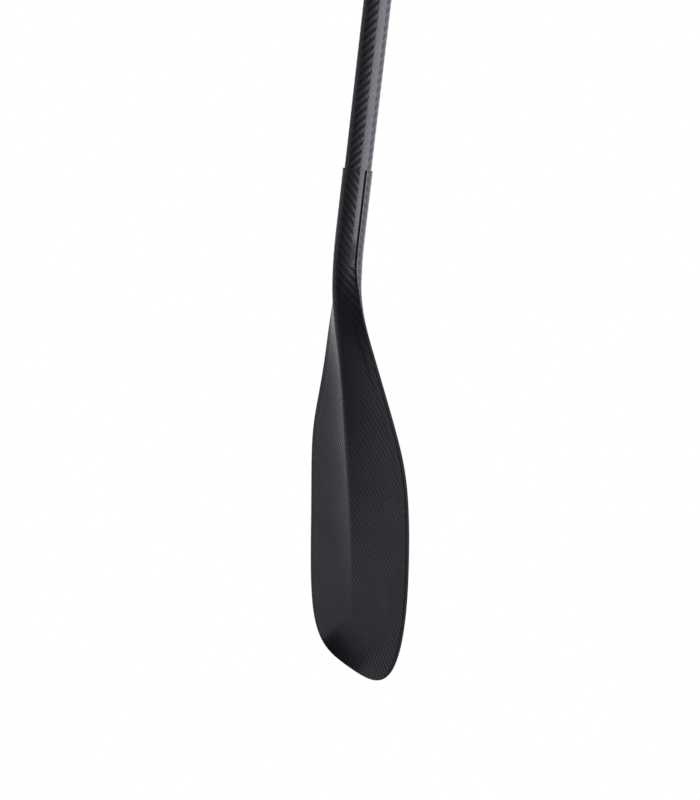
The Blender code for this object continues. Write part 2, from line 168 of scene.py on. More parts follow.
# Cloth: tows of 3000 fibres in a 2 over 2 twill. A tow rises by its crimp where it passes over the
# others, most at its middle, counted in tows along the repeat, and its back is round by its crown
TOW_WIDTH = 0.0022
TOWS_ROUND_SHAFT = 40
TWILL_REPEAT = 4
WARP_MIDDLE = 0.0
WARP_CRIMP = 0.00001
WARP_CROWN = 0.000017
WEFT_MIDDLE = 3.0
WEFT_CRIMP = 0.000024
WEFT_CROWN = 0.00001
RESIN_COLOR = "#252227"
RESIN_IOR = 1.5
FIBRE_COLOR = "#6A6A6A"
FIBRE_ANISOTROPY = 1.0
WEAVE_ROUGHNESS = 0.37
WEAVE_METAL = 0.35
RUB_CLOUD_SIZE = 0.0455
RUB_ROUGHNESS = 0.03

# Epoxy at the seam and rim, and the grains of foam, cedar and sleeve
EPOXY_GRAIN = 0.000385
EPOXY_RELIEF = 0.00003
EPOXY_ROUGHNESS = 0.9
FOAM_CELL = 0.000526
CEDAR_RING = 0.00111
SLEEVE_STREAK = 0.000667

# A shell's list of materials: its cloth, the slot at the seam with the inside, and the sealed rim
CLOTH_COAT, INSIDE_COAT, RIM_COAT = 0, 1, 2

shaft_low, shaft_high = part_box("shaft_tube")
SHAFT_RADIUS = (shaft_high.x - shaft_low.x) / 2
SOCKET_TOP = shaft_low.z + SOCKET_DEPTH
NECK_RADIUS = SHAFT_RADIUS + BOND_LINE + NECK_WALL
HALF_EDGE = EDGE_THICKNESS / 2
FLARE_START = SOCKET_DEPTH + NECK_LENGTH
WIDEST = FLARE_START + SHOULDER_LENGTH
TIP = WIDEST + TIP_LENGTH

# Sheens: two places along the cloth, each with its roughness and how metallic the fibres look
TUBE_SHEENS = ((shaft_low.z, 0.2, 0.35), (shaft_high.z, 0.2, 0.35))
MOULDED_SHEENS = ((0.07, 0.15, 0.30), (0.14, 0.28, 0.03))

# Camera
CAMERA_AZIMUTH = 56.0
CAMERA_ELEVATION = 12.336
CAMERA_ROLL = 6.835
CAMERA_DISTANCE = 1.5
CAMERA_LENS_MM = 60.49
CAMERA_SHIFT = (0.00164, 0.05537)
CAMERA_AIM = Vector((0.0, 0.030, SOCKET_TOP - 0.300))

# Studio: the softbox's azimuth is counted to the right from the camera's, and the flag's from the
# power face's side
WHITE = (1.0, 1.0, 1.0, 1.0)
LIGHT_TINT = (0.99, 0.935, 1.05)
STUDIO_MIDDLE = Vector((0.0, 0.02, -0.75))
FLOOR_DROP = 1.0
FLOOR_RADIUS = 1.2
SOFTBOX_AZIMUTH = 54.0
SOFTBOX_ELEVATION = 14.5
SOFTBOX_DISTANCE = 1.6
SOFTBOX_SIZE = (2.0, 1.1)
SOFTBOX_RADIANCE = 3.65
FLAG_PLACE = Vector((-0.0700, 0.0683, -1.2476))
FLAG_SIZE = (0.12, 0.06)
FLAG_AZIMUTH = -56.7
FLAG_ELEVATION = -23.4
FLAG_ROLL = -40.0
DRUM_RADIUS = 5.0
DRUM_STRENGTH = 1.2

# How bright the drum is all round: an azimuth, with 0 on the camera's side and 90 to its right, and
# the level there. It is bright behind the object and to its right, and dark on the camera's side
DRUM_BRIGHTNESS = [
    (-180, 0.95),
    (-168, 0.95),
    (-158, 0.75),
    (-150, 0.52),
    (-140, 0.42),
    (-130, 0.32),
    (-123, 0.28),
    (-116, 0.36),
    (-108, 0.49),
    (-100, 0.39),
    (-90, 0.24),
    (-80, 0.09),
    (-70, 0.03),
    (-60, 0.02),
    (12, 0.02),
    (24, 0.2),
    (70, 0.65),
    (90, 0.8),
    (130, 0.92),
    (155, 1.2),
    (180, 0.95),
]


def mix(first, second, share):
    return first + (second - first) * share


def smooth_step(value, low, high):
    """0 below low, 1 above high, and an even S between them."""
    share = min(max((value - low) / (high - low), 0.0), 1.0)
    return share * share * (3.0 - 2.0 * share)


def cubic(start, start_handle, end_handle, end, share):
    """The point at share of the way along a cubic curve."""
    rest = 1.0 - share
    weights = (rest**3, 3 * rest * rest * share, 3 * rest * share * share, share**3)
    points = (start, start_handle, end_handle, end)
    return tuple(sum(w * p[axis] for w, p in zip(weights, points)) for axis in (0, 1))


def spaced(points, steps, crowding=1.0):
    """New points along a line of points. Above 1, crowding draws them to the line's end."""
    lengths = [0.0]
    for before, after in zip(points, points[1:]):
        lengths.append(lengths[-1] + math.dist(before, after))
    chosen = []
    index = 0
    for step in range(steps + 1):
        wanted = lengths[-1] * (1.0 - (1.0 - step / steps) ** crowding)
        while index < len(points) - 2 and lengths[index + 1] < wanted:
            index += 1
        share = (wanted - lengths[index]) / (lengths[index + 1] - lengths[index])
        before, after = points[index], points[index + 1]
        chosen.append((mix(before[0], after[0], share), mix(before[1], after[1], share)))
    return chosen


def along(curve, steps):
    return spaced([curve(i / CURVE_SAMPLES) for i in range(CURVE_SAMPLES + 1)], steps)


class Ray:
    """A line in the parting plane from a foot on the centre line out to the rim."""

    def __init__(self, foot, rim):
        self.foot = foot
        self.length = math.hypot(rim[0], rim[1] - foot)
        self.across = rim[0] / self.length
        self.along = (rim[1] - foot) / self.length

    def at(self, distance):
        return self.across * distance, self.foot + self.along * distance


def fanned_foot(rim_place, widest, reach):
    """Where a ray starts: level with its rim down to the widest place, then ever less far."""
    beyond = max(rim_place - widest, 0.0)
    return min(rim_place, widest) + reach * (1.0 - math.exp(-beyond / reach))


def bend_angle(place):
    """How far the centre line has turned from the shaft's axis: up to NECK_BEND, then back."""
    bend_end = SOCKET_DEPTH + BEND_LENGTH
    turned = math.radians(NECK_BEND) * smooth_step(place, SOCKET_DEPTH, bend_end)
    return turned - max(place - bend_end, 0.0) / SPOON_RADIUS


def centre_line():
    """The centre line as places (y, z), CENTRE_STEP apart, from the socket's top past the tip."""
    y, z = 0.0, SOCKET_TOP
    points = [(y, z)]
    for step in range(int(TIP / CENTRE_STEP) + 2):
        angle = bend_angle((step + 0.5) * CENTRE_STEP)
        y += CENTRE_STEP * math.sin(angle)
        z -= CENTRE_STEP * math.cos(angle)
        points.append((y, z))
    return points


CENTRE_LINE = centre_line()


def on_blade(across, place, height):
    """A point of the blade in space. Height is measured from the parting plane to the front."""
    index = int(place / CENTRE_STEP)
    share = place / CENTRE_STEP - index
    before, after = CENTRE_LINE[index], CENTRE_LINE[index + 1]
    angle = bend_angle(place)
    y = mix(before[0], after[0], share) - height * math.cos(angle)
    z = mix(before[1], after[1], share) - height * math.sin(angle)
    return Vector((across, y, z))


def on_grip(across, place, height):
    """A point of the grip in space. Place is measured up from the shaft."""
    return Vector((across, -height, place))


def shoulder_curve(share):
    flare = math.radians(FLARE_ANGLE)
    pull = SHOULDER_START_PULL
    start = (NECK_RADIUS, FLARE_START)
    start_handle = (NECK_RADIUS + pull * math.sin(flare), FLARE_START + pull * math.cos(flare))
    end = (BLADE_WIDTH / 2, WIDEST)
    end_handle = (BLADE_WIDTH / 2, WIDEST - SHOULDER_END_PULL)
    return cubic(start, start_handle, end_handle, end, share)


def tip_curve(share):
    start = (BLADE_WIDTH / 2, WIDEST)
    start_handle = (BLADE_WIDTH / 2, WIDEST + TIP_SIDE_PULL)
    end_handle = (TIP_BOTTOM_PULL, TIP)
    return cubic(start, start_handle, end_handle, (0.0, TIP), share)


def corner_filling(place):
    """How much wider the rim is near where it flares, because its corner there is rounded."""
    beside = max(CORNER_REACH - abs(place - FLARE_START), 0.0)
    return math.tan(math.radians(FLARE_ANGLE)) * beside**2 / (4.0 * CORNER_REACH)


def blade_rays():
    """The blade's rays from the socket's top to the tip."""
    rays = [Ray(place, (NECK_RADIUS, place)) for place in (0.0, END_CHAMFER)]
    neck = [(NECK_RADIUS, FLARE_START * row / NECK_ROWS) for row in range(1, NECK_ROWS)]
    rim = neck + along(shoulder_curve, SHOULDER_ROWS) + along(tip_curve, TIP_ROWS)[1:]
    rim = [(across + corner_filling(place), place) for across, place in rim]
    return rays + [Ray(fanned_foot(point[1], WIDEST, FAN_REACH), point) for point in rim]


def change(ray, start, length):
    """0 above a place past the start of the flare, 1 once a length further down."""
    return smooth_step(ray.foot, FLARE_START + start, FLARE_START + start + length)


def blade_share(ray):
    """0 where the section is the round neck's, 1 where it is the blade's."""
    return change(ray, SECTION_CHANGE_START, SECTION_CHANGE_LENGTH)


def front_crown(ray):
    fading = 1.0 - smooth_step(ray.foot, FLARE_START + RIDGE_FADE_START, TIP)
    rising = (NECK_RADIUS - RIDGE_HEIGHT) * (1.0 - blade_share(ray))
    return HALF_EDGE + (RIDGE_HEIGHT - HALF_EDGE) * fading + rising


def back_crown(ray):
    bulge = 1.0 - change(ray, 0.0, SPINE_BULGE_LENGTH)
    fading = 1.0 - smooth_step(ray.foot, FLARE_START + SPINE_BULGE_LENGTH, TIP)
    rising = (NECK_RADIUS - BACK_HEIGHT) * bulge
    return HALF_EDGE + (BACK_HEIGHT - HALF_EDGE) * fading + rising


def rim_point(ray, width, height, angle):
    """A point of the rounded rim: 0 is outermost, and a right angle is where a level flank ends."""
    return ray.length - width + width * math.cos(angle), height * math.sin(angle)


def ridge_rounding(crown, end, blunt):
    """The radius over the ridge. Blunt 1 gives an arc that runs from the crown right to end."""
    rise = max(crown - end[1], MERGE)
    widest = (end[0] ** 2 + rise**2) / (2.0 * rise)
    return min(mix(RIDGE_ROUNDING, widest, blunt), widest, crown)


def flank_slope(crown, rounding, end):
    """The slope of a straight flank that touches the arc over the ridge and ends at a point."""
    centre = crown - rounding
    reach = math.hypot(end[0], centre - end[1])
    return math.asin(min(rounding / reach, 1.0)) + math.atan2(centre - end[1], end[0])


def front_section(ray):
    """The power side's section as (distance, height) points from the crown to the parting plane.

    An arc over the ridge runs into a flank and then a rounded rim. On the neck the arc is nearly
    all of it. Down the blade the arc shrinks to a crisp ridge and the flank turns hollow, and
    ever more steeply beside the ridge, which stays crisp as it gets lower.
    """
    crown = front_crown(ray)
    blunt = (1.0 - change(ray, RIDGE_START, RIDGE_LENGTH)) ** RIDGE_EASE
    hollow = change(ray, HOLLOW_START, HOLLOW_LENGTH)
    rim_width = mix(NECK_RIM_WIDTH, RIM_WIDTH, change(ray, RIM_START, RIM_LENGTH))
    rim_height = mix(NECK_RIM_HEIGHT, HALF_EDGE, change(ray, RIM_RISE_START, RIM_RISE_LENGTH))
    level_end = rim_point(ray, rim_width, rim_height, math.pi / 2)
    rounding = ridge_rounding(crown, level_end, blunt)
    end_slope = (1.0 - hollow) * flank_slope(crown, rounding, level_end)
    rim_angle = math.atan2(rim_height * math.cos(end_slope), rim_width * math.sin(end_slope))
    end = rim_point(ray, rim_width, rim_height, rim_angle)
    rise = crown - end[1]
    rounding = ridge_rounding(crown, end, blunt)
    steepening = change(ray, STEEPENING_START, STEEPENING_LENGTH)
    steepness = mix(HOLLOW_STEEPNESS, HOLLOW_TIP_STEEPNESS, steepening)
    hollow_slope = math.atan(steepness * rise / end[0])
    slope = mix(flank_slope(crown, rounding, end), hollow_slope, hollow)
    start = (rounding * math.sin(slope), crown - rounding * (1.0 - math.cos(slope)))
    span = math.dist(start, end)
    lead, tail = FLANK_START_SHARE * span, FLANK_END_SHARE * span
    start_handle = (start[0] + lead * math.cos(slope), start[1] - lead * math.sin(slope))
    end_handle = (end[0] - tail * math.cos(end_slope), end[1] + tail * math.sin(end_slope))
    points = []
    for step in range(DENSE_STEPS):
        angle = slope * step / DENSE_STEPS
        points.append((rounding * math.sin(angle), crown - rounding * (1.0 - math.cos(angle))))
    for step in range(DENSE_STEPS):
        points.append(cubic(start, start_handle, end_handle, end, step / DENSE_STEPS))
    for step in range(DENSE_STEPS + 1):
        angle = rim_angle * (1.0 - step / DENSE_STEPS)
        points.append(rim_point(ray, rim_width, rim_height, angle))
    return finished(ray, points)


def back_section(ray):
    """The back's section, from a round half of the neck to a soft bulge with a rounded rim."""
    share = blade_share(ray)
    crown = back_crown(ray)
    flank_end = (ray.length - RIM_WIDTH, HALF_EDGE)
    start_handle = (FLANK_START_SHARE * flank_end[0], crown)
    end_handle = ((1.0 - FLANK_END_SHARE) * flank_end[0], HALF_EDGE)
    shoulder_angle = math.radians(NECK_SHOULDER_ANGLE)
    points = []
    for step in range(DENSE_STEPS):
        part = step / DENSE_STEPS
        angle = mix(math.pi / 2, shoulder_angle, part)
        flank = cubic((0.0, crown), start_handle, end_handle, flank_end, part)
        distance = mix(ray.length * math.cos(angle), flank[0], share)
        points.append((distance, mix(crown * math.sin(angle), flank[1], share)))
    for step in range(DENSE_STEPS // 2 + 1):
        part = 2 * step / DENSE_STEPS
        angle = mix(shoulder_angle, 0.0, part)
        rim_angle = mix(math.pi / 2, 0.0, part)
        rim = (flank_end[0] + RIM_WIDTH * math.cos(rim_angle), HALF_EDGE * math.sin(rim_angle))
        distance = mix(ray.length * math.cos(angle), rim[0], share)
        points.append((distance, mix(crown * math.sin(angle), rim[1], share)))
    return finished(ray, points)


def finished(ray, points):
    """A section without points that coincide, with its edge strip set down."""
    kept = []
    for distance, height in points:
        strip = 1.0 - smooth_step(
            ray.length - distance, STRIP_WIDTH, STRIP_WIDTH + STRIP_SLOPE_WIDTH
        )
        height *= 1.0 - blade_share(ray) * strip * STRIP_DROP / HALF_EDGE
        if not kept or math.dist(kept[-1], (distance, height)) > MERGE:
            kept.append((distance, height))
    return kept


def grip_curve_up(share):
    start = (SHAFT_RADIUS, GRIP_STEM)
    start_handle = (SHAFT_RADIUS, GRIP_STEM + GRIP_FLARE_PULL)
    end = (GRIP_WIDTH / 2, GRIP_WIDEST)
    end_handle = (GRIP_WIDTH / 2, GRIP_WIDEST - GRIP_END_PULL)
    return cubic(start, start_handle, end_handle, end, share)


def grip_curve_over(share):
    start = (GRIP_WIDTH / 2, GRIP_WIDEST)
    start_handle = (GRIP_WIDTH / 2, GRIP_WIDEST + GRIP_CROWN_SIDE_PULL)
    end_handle = (GRIP_CROWN_TOP_PULL, GRIP_HEIGHT)
    return cubic(start, start_handle, end_handle, (0.0, GRIP_HEIGHT), share)


def grip_rays():
    """The grip's rays from the shaft's end to the middle of the crown."""
    rays = [Ray(place, (SHAFT_RADIUS, place)) for place in (0.0, END_CHAMFER)]
    for row in range(1, GRIP_STEM_ROWS):
        place = GRIP_STEM * row / GRIP_STEM_ROWS
        rays.append(Ray(place, (SHAFT_RADIUS, place)))
    rim = along(grip_curve_up, GRIP_FLARE_ROWS) + along(grip_curve_over, GRIP_CROWN_ROWS)[1:]
    return rays + [Ray(fanned_foot(point[1], GRIP_WIDEST, GRIP_FAN_REACH), point) for point in rim]


def grip_section(ray, depth):
    """One side of the grip: round at the stem, and a squarer oval where the palm rests."""
    crown = mix(SHAFT_RADIUS, depth, smooth_step(ray.foot, SPIGOT_IN_GRIP, GRIP_WIDEST))
    power = 2.0 / mix(2.0, GRIP_SQUARENESS, smooth_step(ray.foot, 0.0, GRIP_WIDEST))
    points = []
    for step in range(DENSE_STEPS + 1):
        angle = math.pi / 2 * (1.0 - step / DENSE_STEPS)
        distance = ray.length * max(math.cos(angle), 0.0) ** power
        points.append((distance, crown * max(math.sin(angle), 0.0) ** power))
    return points


def inset(section, depth):
    """A section moved inwards, square to itself."""
    moved = []
    for index, (distance, height) in enumerate(section):
        if index == 0:
            across, up = 0.0, 1.0
        elif index == len(section) - 1:
            across, up = 1.0, 0.0
        else:
            run = section[index + 1][0] - section[index - 1][0]
            drop = section[index - 1][1] - section[index + 1][1]
            size = math.hypot(run, drop)
            across, up = drop / size, run / size
        moved.append((distance - depth * across, height - depth * up))
    return moved


def cut_at(section, level):
    """The part of a section above a level, and the point where it is cut."""
    kept = [point for point in section if point[1] > level]
    above, below = kept[-1], section[len(kept)]
    share = (above[1] - level) / (above[1] - below[1])
    return kept + [(mix(above[0], below[0], share), level)]


def shell_section(section, wall, seam_half, seam_depth, gap):
    """A shell's section from its crown out, round the slot at the seam, and back along its inside.

    Each point is (distance, height, cloth), where cloth is how far along the skin it lies. The gap
    is what stays open between the two shells behind the slot.
    """
    skin = spaced(cut_at(section, seam_half), SECTION_STEPS, SECTION_CROWDING)
    reach = [0.0]
    for before, after in zip(skin, skin[1:]):
        reach.append(reach[-1] + math.dist(before, after))
    outer = [(*point, length) for point, length in zip(skin, reach)]
    slot = min(skin[-1][0], section[-1][0] - seam_depth)
    edge = [(slot, seam_half, reach[-1]), (slot, gap / 2, reach[-1])]
    lining = spaced(cut_at(inset(section, wall), gap / 2), SECTION_STEPS, SECTION_CROWDING)
    inner = [(*point, length) for point, length in zip(lining, reach)]
    return outer, edge + inner[::-1]


def loft_shell(name, rays, section_of, trim_of, place_on, side):
    """A closed shell lofted through the rays' sections: side 1 is the front and -1 the back.

    For each ray, trim_of gives the wall, the seam's half width, depth and gap, and how many of the
    last steps to the rim are sealed.
    """
    bm = bmesh.new()
    cloth = bm.verts.layers.float_vector.new("cloth")
    coat = bm.verts.layers.int.new("coat")
    rings = []
    for index, ray in enumerate(rays):
        section = section_of(ray)
        if index == 0:
            section = inset(section, END_CHAMFER)
        *trim, sealed_steps = trim_of(ray)
        outer, rest = shell_section(section, *trim)
        bare_steps = SECTION_STEPS - sealed_steps
        half = [
            (*point, RIM_COAT if step > bare_steps else CLOTH_COAT)
            for step, point in enumerate(outer)
        ]
        half += [(*point, INSIDE_COAT) for point in rest]
        loop = [(1, *point) for point in half] + [(-1, *point) for point in half[-2:0:-1]]
        corners = []
        for flank, distance, height, length, kind in loop:
            across, place = ray.at(distance)
            corner = bm.verts.new(place_on(flank * across, place, side * height))
            corner[cloth] = (side * flank * ray.across * length, ray.foot + ray.along * length, 0.0)
            corner[coat] = kind
            corners.append(corner)
        rings.append([bm.edges.new((corners[i - 1], corners[i])) for i in range(len(corners))])
    for before, after in zip(rings, rings[1:]):
        bmesh.ops.bridge_loops(bm, edges=before + after)
    bmesh.ops.contextual_create(bm, geom=rings[0])
    bmesh.ops.remove_doubles(bm, verts=bm.verts, dist=MERGE)
    bmesh.ops.recalc_face_normals(bm, faces=bm.faces)
    weave = bm.loops.layers.uv.new("weave")
    for face in bm.faces:
        face.material_index = max(vert[coat] for vert in face.verts)
        for loop in face.loops:
            loop[weave].uv = loop.vert[cloth].xy
    return add_piece(name, bm)


def add_piece(name, bm):
    mesh = bpy.data.meshes.new(name)
    bm.to_mesh(mesh)
    bm.free()
    mesh.shade_smooth()
    mesh.set_sharp_from_angle(angle=math.radians(SHARP_ANGLE))
    piece = bpy.data.objects.new(name, mesh)
    bpy.context.collection.objects.link(piece)
    return piece


def blade_trim(ray):
    """On the neck the seam is an open slot, and on the blade a fine line beside a sealed rim."""
    wall = mix(NECK_WALL, BLADE_SKIN, blade_share(ray))
    fading = change(ray, SEAM_FADE_START, SEAM_FADE_LENGTH)
    half_width = mix(SEAM_HALF_WIDTH, RIM_SEAM, fading)
    depth = mix(SEAM_DEPTH, RIM_SEAM, fading)
    gap = mix(GLUED_GAP, BOND_LINE, fading)
    return wall, half_width, depth, gap, RIM_STEPS if fading == 1.0 else 0


def blade_shell(name, side):
    section_of = front_section if side == 1 else back_section
    return loft_shell(name, blade_rays(), section_of, blade_trim, on_blade, side)


def grip_trim(ray):
    return SHAFT_WALL, GRIP_SEAM, GRIP_SEAM, GLUED_GAP, 0


def grip_shell(name, side):
    depth = GRIP_FRONT_DEPTH if side == 1 else GRIP_BACK_DEPTH

    def section_of(ray):
        return grip_section(ray, depth)

    return loft_shell(name, grip_rays(), section_of, grip_trim, on_grip, side)


def shaft_piece():
    """The tube, spun from its wall's section, with its cloth laid round it in whole repeats."""
    bore = SHAFT_RADIUS - SHAFT_WALL
    wall = [(bore, shaft_low.z), (SHAFT_RADIUS, shaft_low.z)]
    wall += [(SHAFT_RADIUS, shaft_high.z), (bore, shaft_high.z)]
    bm = bmesh.new()
    corners = [bm.verts.new((radius, 0.0, height)) for radius, height in wall]
    edges = [bm.edges.new((corners[i - 1], corners[i])) for i in range(len(corners))]
    bmesh.ops.spin(
        bm,
        geom=corners + edges,
        cent=(0.0, 0.0, 0.0),
        axis=(0.0, 0.0, 1.0),
        angle=math.tau,
        steps=SHAFT_SIDES,
        use_merge=True,
    )
    bmesh.ops.remove_doubles(bm, verts=bm.verts, dist=MERGE)
    bmesh.ops.recalc_face_normals(bm, faces=bm.faces)
    weave = bm.loops.layers.uv.new("weave")
    for face in bm.faces:
        middle = face.calc_center_median()
        centre = math.atan2(middle.y, middle.x)
        for loop in face.loops:
            spot = loop.vert.co
            turn = math.remainder(math.atan2(spot.y, spot.x) - centre, math.tau)
            tows = (centre + turn) / math.tau * TOWS_ROUND_SHAFT
            loop[weave].uv = (tows * TOW_WIDTH, spot.z)
    return add_piece("shaft", bm)


def linear(code):
    """An sRGB hex colour as linear RGBA."""
    parts = [int(code[i : i + 2], 16) / 255 for i in (1, 3, 5)]
    bent = [c / 12.92 if c <= 0.04045 else ((c + 0.055) / 1.055) ** 2.4 for c in parts]
    return (*bent, 1.0)


def new_material(name):
    material = bpy.data.materials.new(name)
    material.use_nodes = True
    tree = material.node_tree
    return material, tree, tree.nodes["Principled BSDF"]


def add_node(tree, kind, settings=None, **links):
    """Adds a node, sets its properties, and fills its inputs with values or other nodes' outputs.

    An input is named, or numbered as in_0, in_1 and so on.
    """
    node = tree.nodes.new(kind)
    for key, value in (settings or {}).items():
        setattr(node, key, value)
    for key, value in links.items():
        name = int(key[3:]) if key.startswith("in_") else key.replace("_", " ")
        socket = node.inputs[name]
        if isinstance(value, bpy.types.NodeSocket):
            tree.links.new(value, socket)
        else:
            socket.default_value = value
    return node


def tow_heights(tree, run, side, index, middle, crimp, crown):
    """How high a set of parallel tows stands, in metres: crimped along its run and round across it.

    Run and side are places along and across the tows, counted in tows, and index is the tow's own
    number. A tow is highest at middle, which is the middle of where it passes over the others.
    """
    offset = add_node(
        tree, "ShaderNodeMath", {"operation": "SUBTRACT"}, in_0=run, in_1=index
    ).outputs[0]
    angle = add_node(
        tree,
        "ShaderNodeMath",
        {"operation": "MULTIPLY_ADD"},
        in_0=offset,
        in_1=math.tau / TWILL_REPEAT,
        in_2=-middle * math.tau / TWILL_REPEAT,
    ).outputs[0]
    swell = add_node(tree, "ShaderNodeMath", {"operation": "COSINE"}, in_0=angle).outputs[0]
    within = add_node(tree, "ShaderNodeMath", {"operation": "FRACT"}, in_0=side).outputs[0]
    half_turn = add_node(
        tree, "ShaderNodeMath", {"operation": "MULTIPLY"}, in_0=within, in_1=math.pi
    ).outputs[0]
    bulge = add_node(tree, "ShaderNodeMath", {"operation": "SINE"}, in_0=half_turn).outputs[0]
    crowned = add_node(
        tree, "ShaderNodeMath", {"operation": "MULTIPLY"}, in_0=bulge, in_1=crown
    ).outputs[0]
    return add_node(
        tree,
        "ShaderNodeMath",
        {"operation": "MULTIPLY_ADD"},
        in_0=swell,
        in_1=crimp,
        in_2=crowned,
    ).outputs[0]


def carbon_twill(name, sheens):
    """Carbon fibre cloth under satin resin: black, with a weave that shows beside a highlight.

    Tows 2.2 mm wide go over two and under two. Fibres spread a reflection across their length. So
    the warp, which runs the way the paddle does, throws its sheen far round the tube, and the weft
    throws it up and down. The warp is also a little rougher and more metallic. In a broad highlight
    the two are about equally bright, and beside it the warp's diagonal lines stand out.

    Sheens gives two places along the cloth, and at each the roughness and how metallic the fibres
    look through the resin, which lies thicker on the blade.
    """
    material, tree, shader = new_material(name)
    cloth = add_node(tree, "ShaderNodeUVMap", {"uv_map": "weave"}).outputs["UV"]
    down = add_node(tree, "ShaderNodeSeparateXYZ", Vector=cloth).outputs["Y"]

    # Which tow lies on top: the warp in the first half of a row's repeat, and the weft in the rest.
    # Each row's repeat starts one tow further on, which gives the twill its diagonal lines
    in_tows = add_node(
        tree, "ShaderNodeVectorMath", {"operation": "SCALE"}, Vector=cloth, Scale=1 / TOW_WIDTH
    )
    split = add_node(tree, "ShaderNodeSeparateXYZ", Vector=in_tows.outputs["Vector"])
    across, up = split.outputs["X"], split.outputs["Y"]
    column = add_node(tree, "ShaderNodeMath", {"operation": "FLOOR"}, in_0=across).outputs[0]
    row = add_node(tree, "ShaderNodeMath", {"operation": "FLOOR"}, in_0=up).outputs[0]
    step = add_node(
        tree, "ShaderNodeMath", {"operation": "SUBTRACT"}, in_0=column, in_1=row
    ).outputs[0]
    phase = add_node(
        tree,
        "ShaderNodeMath",
        {"operation": "FLOORED_MODULO"},
        in_0=step,
        in_1=float(TWILL_REPEAT),
    ).outputs[0]
    warp_on_top = add_node(
        tree, "ShaderNodeMath", {"operation": "LESS_THAN"}, in_0=phase, in_1=TWILL_REPEAT / 2 - 0.5
    ).outputs[0]

    # Relief
    warp = tow_heights(tree, up, across, column, WARP_MIDDLE, WARP_CRIMP, WARP_CROWN)
    weft = tow_heights(tree, across, up, row, WEFT_MIDDLE, WEFT_CRIMP, WEFT_CROWN)
    relief = add_node(
        tree, "ShaderNodeMix", {"data_type": "FLOAT"}, Factor=warp_on_top, A=weft, B=warp
    ).outputs["Result"]
    bump = add_node(tree, "ShaderNodeBump", Strength=1.0, Distance=1.0, Height=relief)

    # Sheen along the cloth, and how far warp and weft differ in it
    roughness, metal = (
        add_node(
            tree,
            "ShaderNodeMapRange",
            {"interpolation_type": "SMOOTHSTEP"},
            Value=down,
            From_Min=sheens[0][0],
            From_Max=sheens[1][0],
            To_Min=sheens[0][kind],
            To_Max=sheens[1][kind],
        ).outputs["Result"]
        for kind in (1, 2)
    )
    shown = add_node(
        tree,
        "ShaderNodeMix",
        {"data_type": "FLOAT"},
        Factor=warp_on_top,
        A=1.0 - WEAVE_METAL,
        B=1.0 + WEAVE_METAL,
    ).outputs["Result"]
    metal_here = add_node(
        tree, "ShaderNodeMath", {"operation": "MULTIPLY"}, in_0=metal, in_1=shown
    ).outputs[0]
    swing = add_node(
        tree,
        "ShaderNodeMix",
        {"data_type": "FLOAT"},
        Factor=warp_on_top,
        A=-WEAVE_ROUGHNESS,
        B=WEAVE_ROUGHNESS,
    ).outputs["Result"]
    rougher = add_node(
        tree,
        "ShaderNodeMath",
        {"operation": "MULTIPLY_ADD"},
        in_0=swing,
        in_1=metal,
        in_2=roughness,
    ).outputs[0]

    # Rubbed by hands and water, in soft clouds
    place = add_node(tree, "ShaderNodeTexCoord").outputs["Object"]
    cloud = add_node(
        tree,
        "ShaderNodeTexNoise",
        Vector=place,
        Scale=1 / RUB_CLOUD_SIZE,
        Detail=3.0,
        Roughness=0.55,
    ).outputs["Fac"]
    rub = add_node(
        tree,
        "ShaderNodeMapRange",
        Value=cloud,
        From_Min=0.3,
        From_Max=0.7,
        To_Min=-RUB_ROUGHNESS,
        To_Max=RUB_ROUGHNESS,
    ).outputs["Result"]
    rubbed = add_node(tree, "ShaderNodeMath", {"operation": "ADD"}, in_0=rougher, in_1=rub)

    tint = add_node(
        tree,
        "ShaderNodeMix",
        {"data_type": "RGBA"},
        in_0=metal_here,
        in_6=linear(RESIN_COLOR),
        in_7=linear(FIBRE_COLOR),
    )

    # The tangent runs along the weft, whose own spread takes a quarter turn from it
    along_weft = add_node(
        tree, "ShaderNodeTangent", {"direction_type": "UV_MAP", "uv_map": "weave"}
    )
    quarter_turn = add_node(
        tree, "ShaderNodeMix", {"data_type": "FLOAT"}, Factor=warp_on_top, A=0.25, B=0.0
    )

    tree.links.new(tint.outputs[2], shader.inputs["Base Color"])
    tree.links.new(metal_here, shader.inputs["Metallic"])
    tree.links.new(rubbed.outputs[0], shader.inputs["Roughness"])
    tree.links.new(bump.outputs["Normal"], shader.inputs["Normal"])
    tree.links.new(along_weft.outputs["Tangent"], shader.inputs["Tangent"])
    tree.links.new(quarter_turn.outputs["Result"], shader.inputs["Anisotropic Rotation"])
    shader.inputs["Anisotropic"].default_value = FIBRE_ANISOTROPY
    shader.inputs["IOR"].default_value = RESIN_IOR
    return material


def speckled(
    name, low, high, grain, roughness, stretch=(1.0, 1.0, 1.0), relief=0.0001, specular=0.5
):
    """A material whose colour runs between two hex values with noise, and whose surface follows it.

    Grain is the size of the noise's spots and relief how high they stand. A stretch under 1 draws
    the spots out along that axis.
    """
    material, tree, shader = new_material(name)
    place = add_node(tree, "ShaderNodeTexCoord").outputs["Object"]
    mapping = add_node(tree, "ShaderNodeMapping", Vector=place, Scale=stretch).outputs["Vector"]
    noise = add_node(
        tree, "ShaderNodeTexNoise", Vector=mapping, Scale=1 / grain, Detail=6.0
    ).outputs["Fac"]
    blend = add_node(
        tree,
        "ShaderNodeMix",
        {"data_type": "RGBA"},
        in_0=noise,
        in_6=linear(low),
        in_7=linear(high),
    )
    bump = add_node(tree, "ShaderNodeBump", Strength=0.6, Distance=relief, Height=noise)
    tree.links.new(blend.outputs[2], shader.inputs["Base Color"])
    tree.links.new(bump.outputs["Normal"], shader.inputs["Normal"])
    shader.inputs["Roughness"].default_value = roughness
    shader.inputs["Specular IOR Level"].default_value = specular
    return material


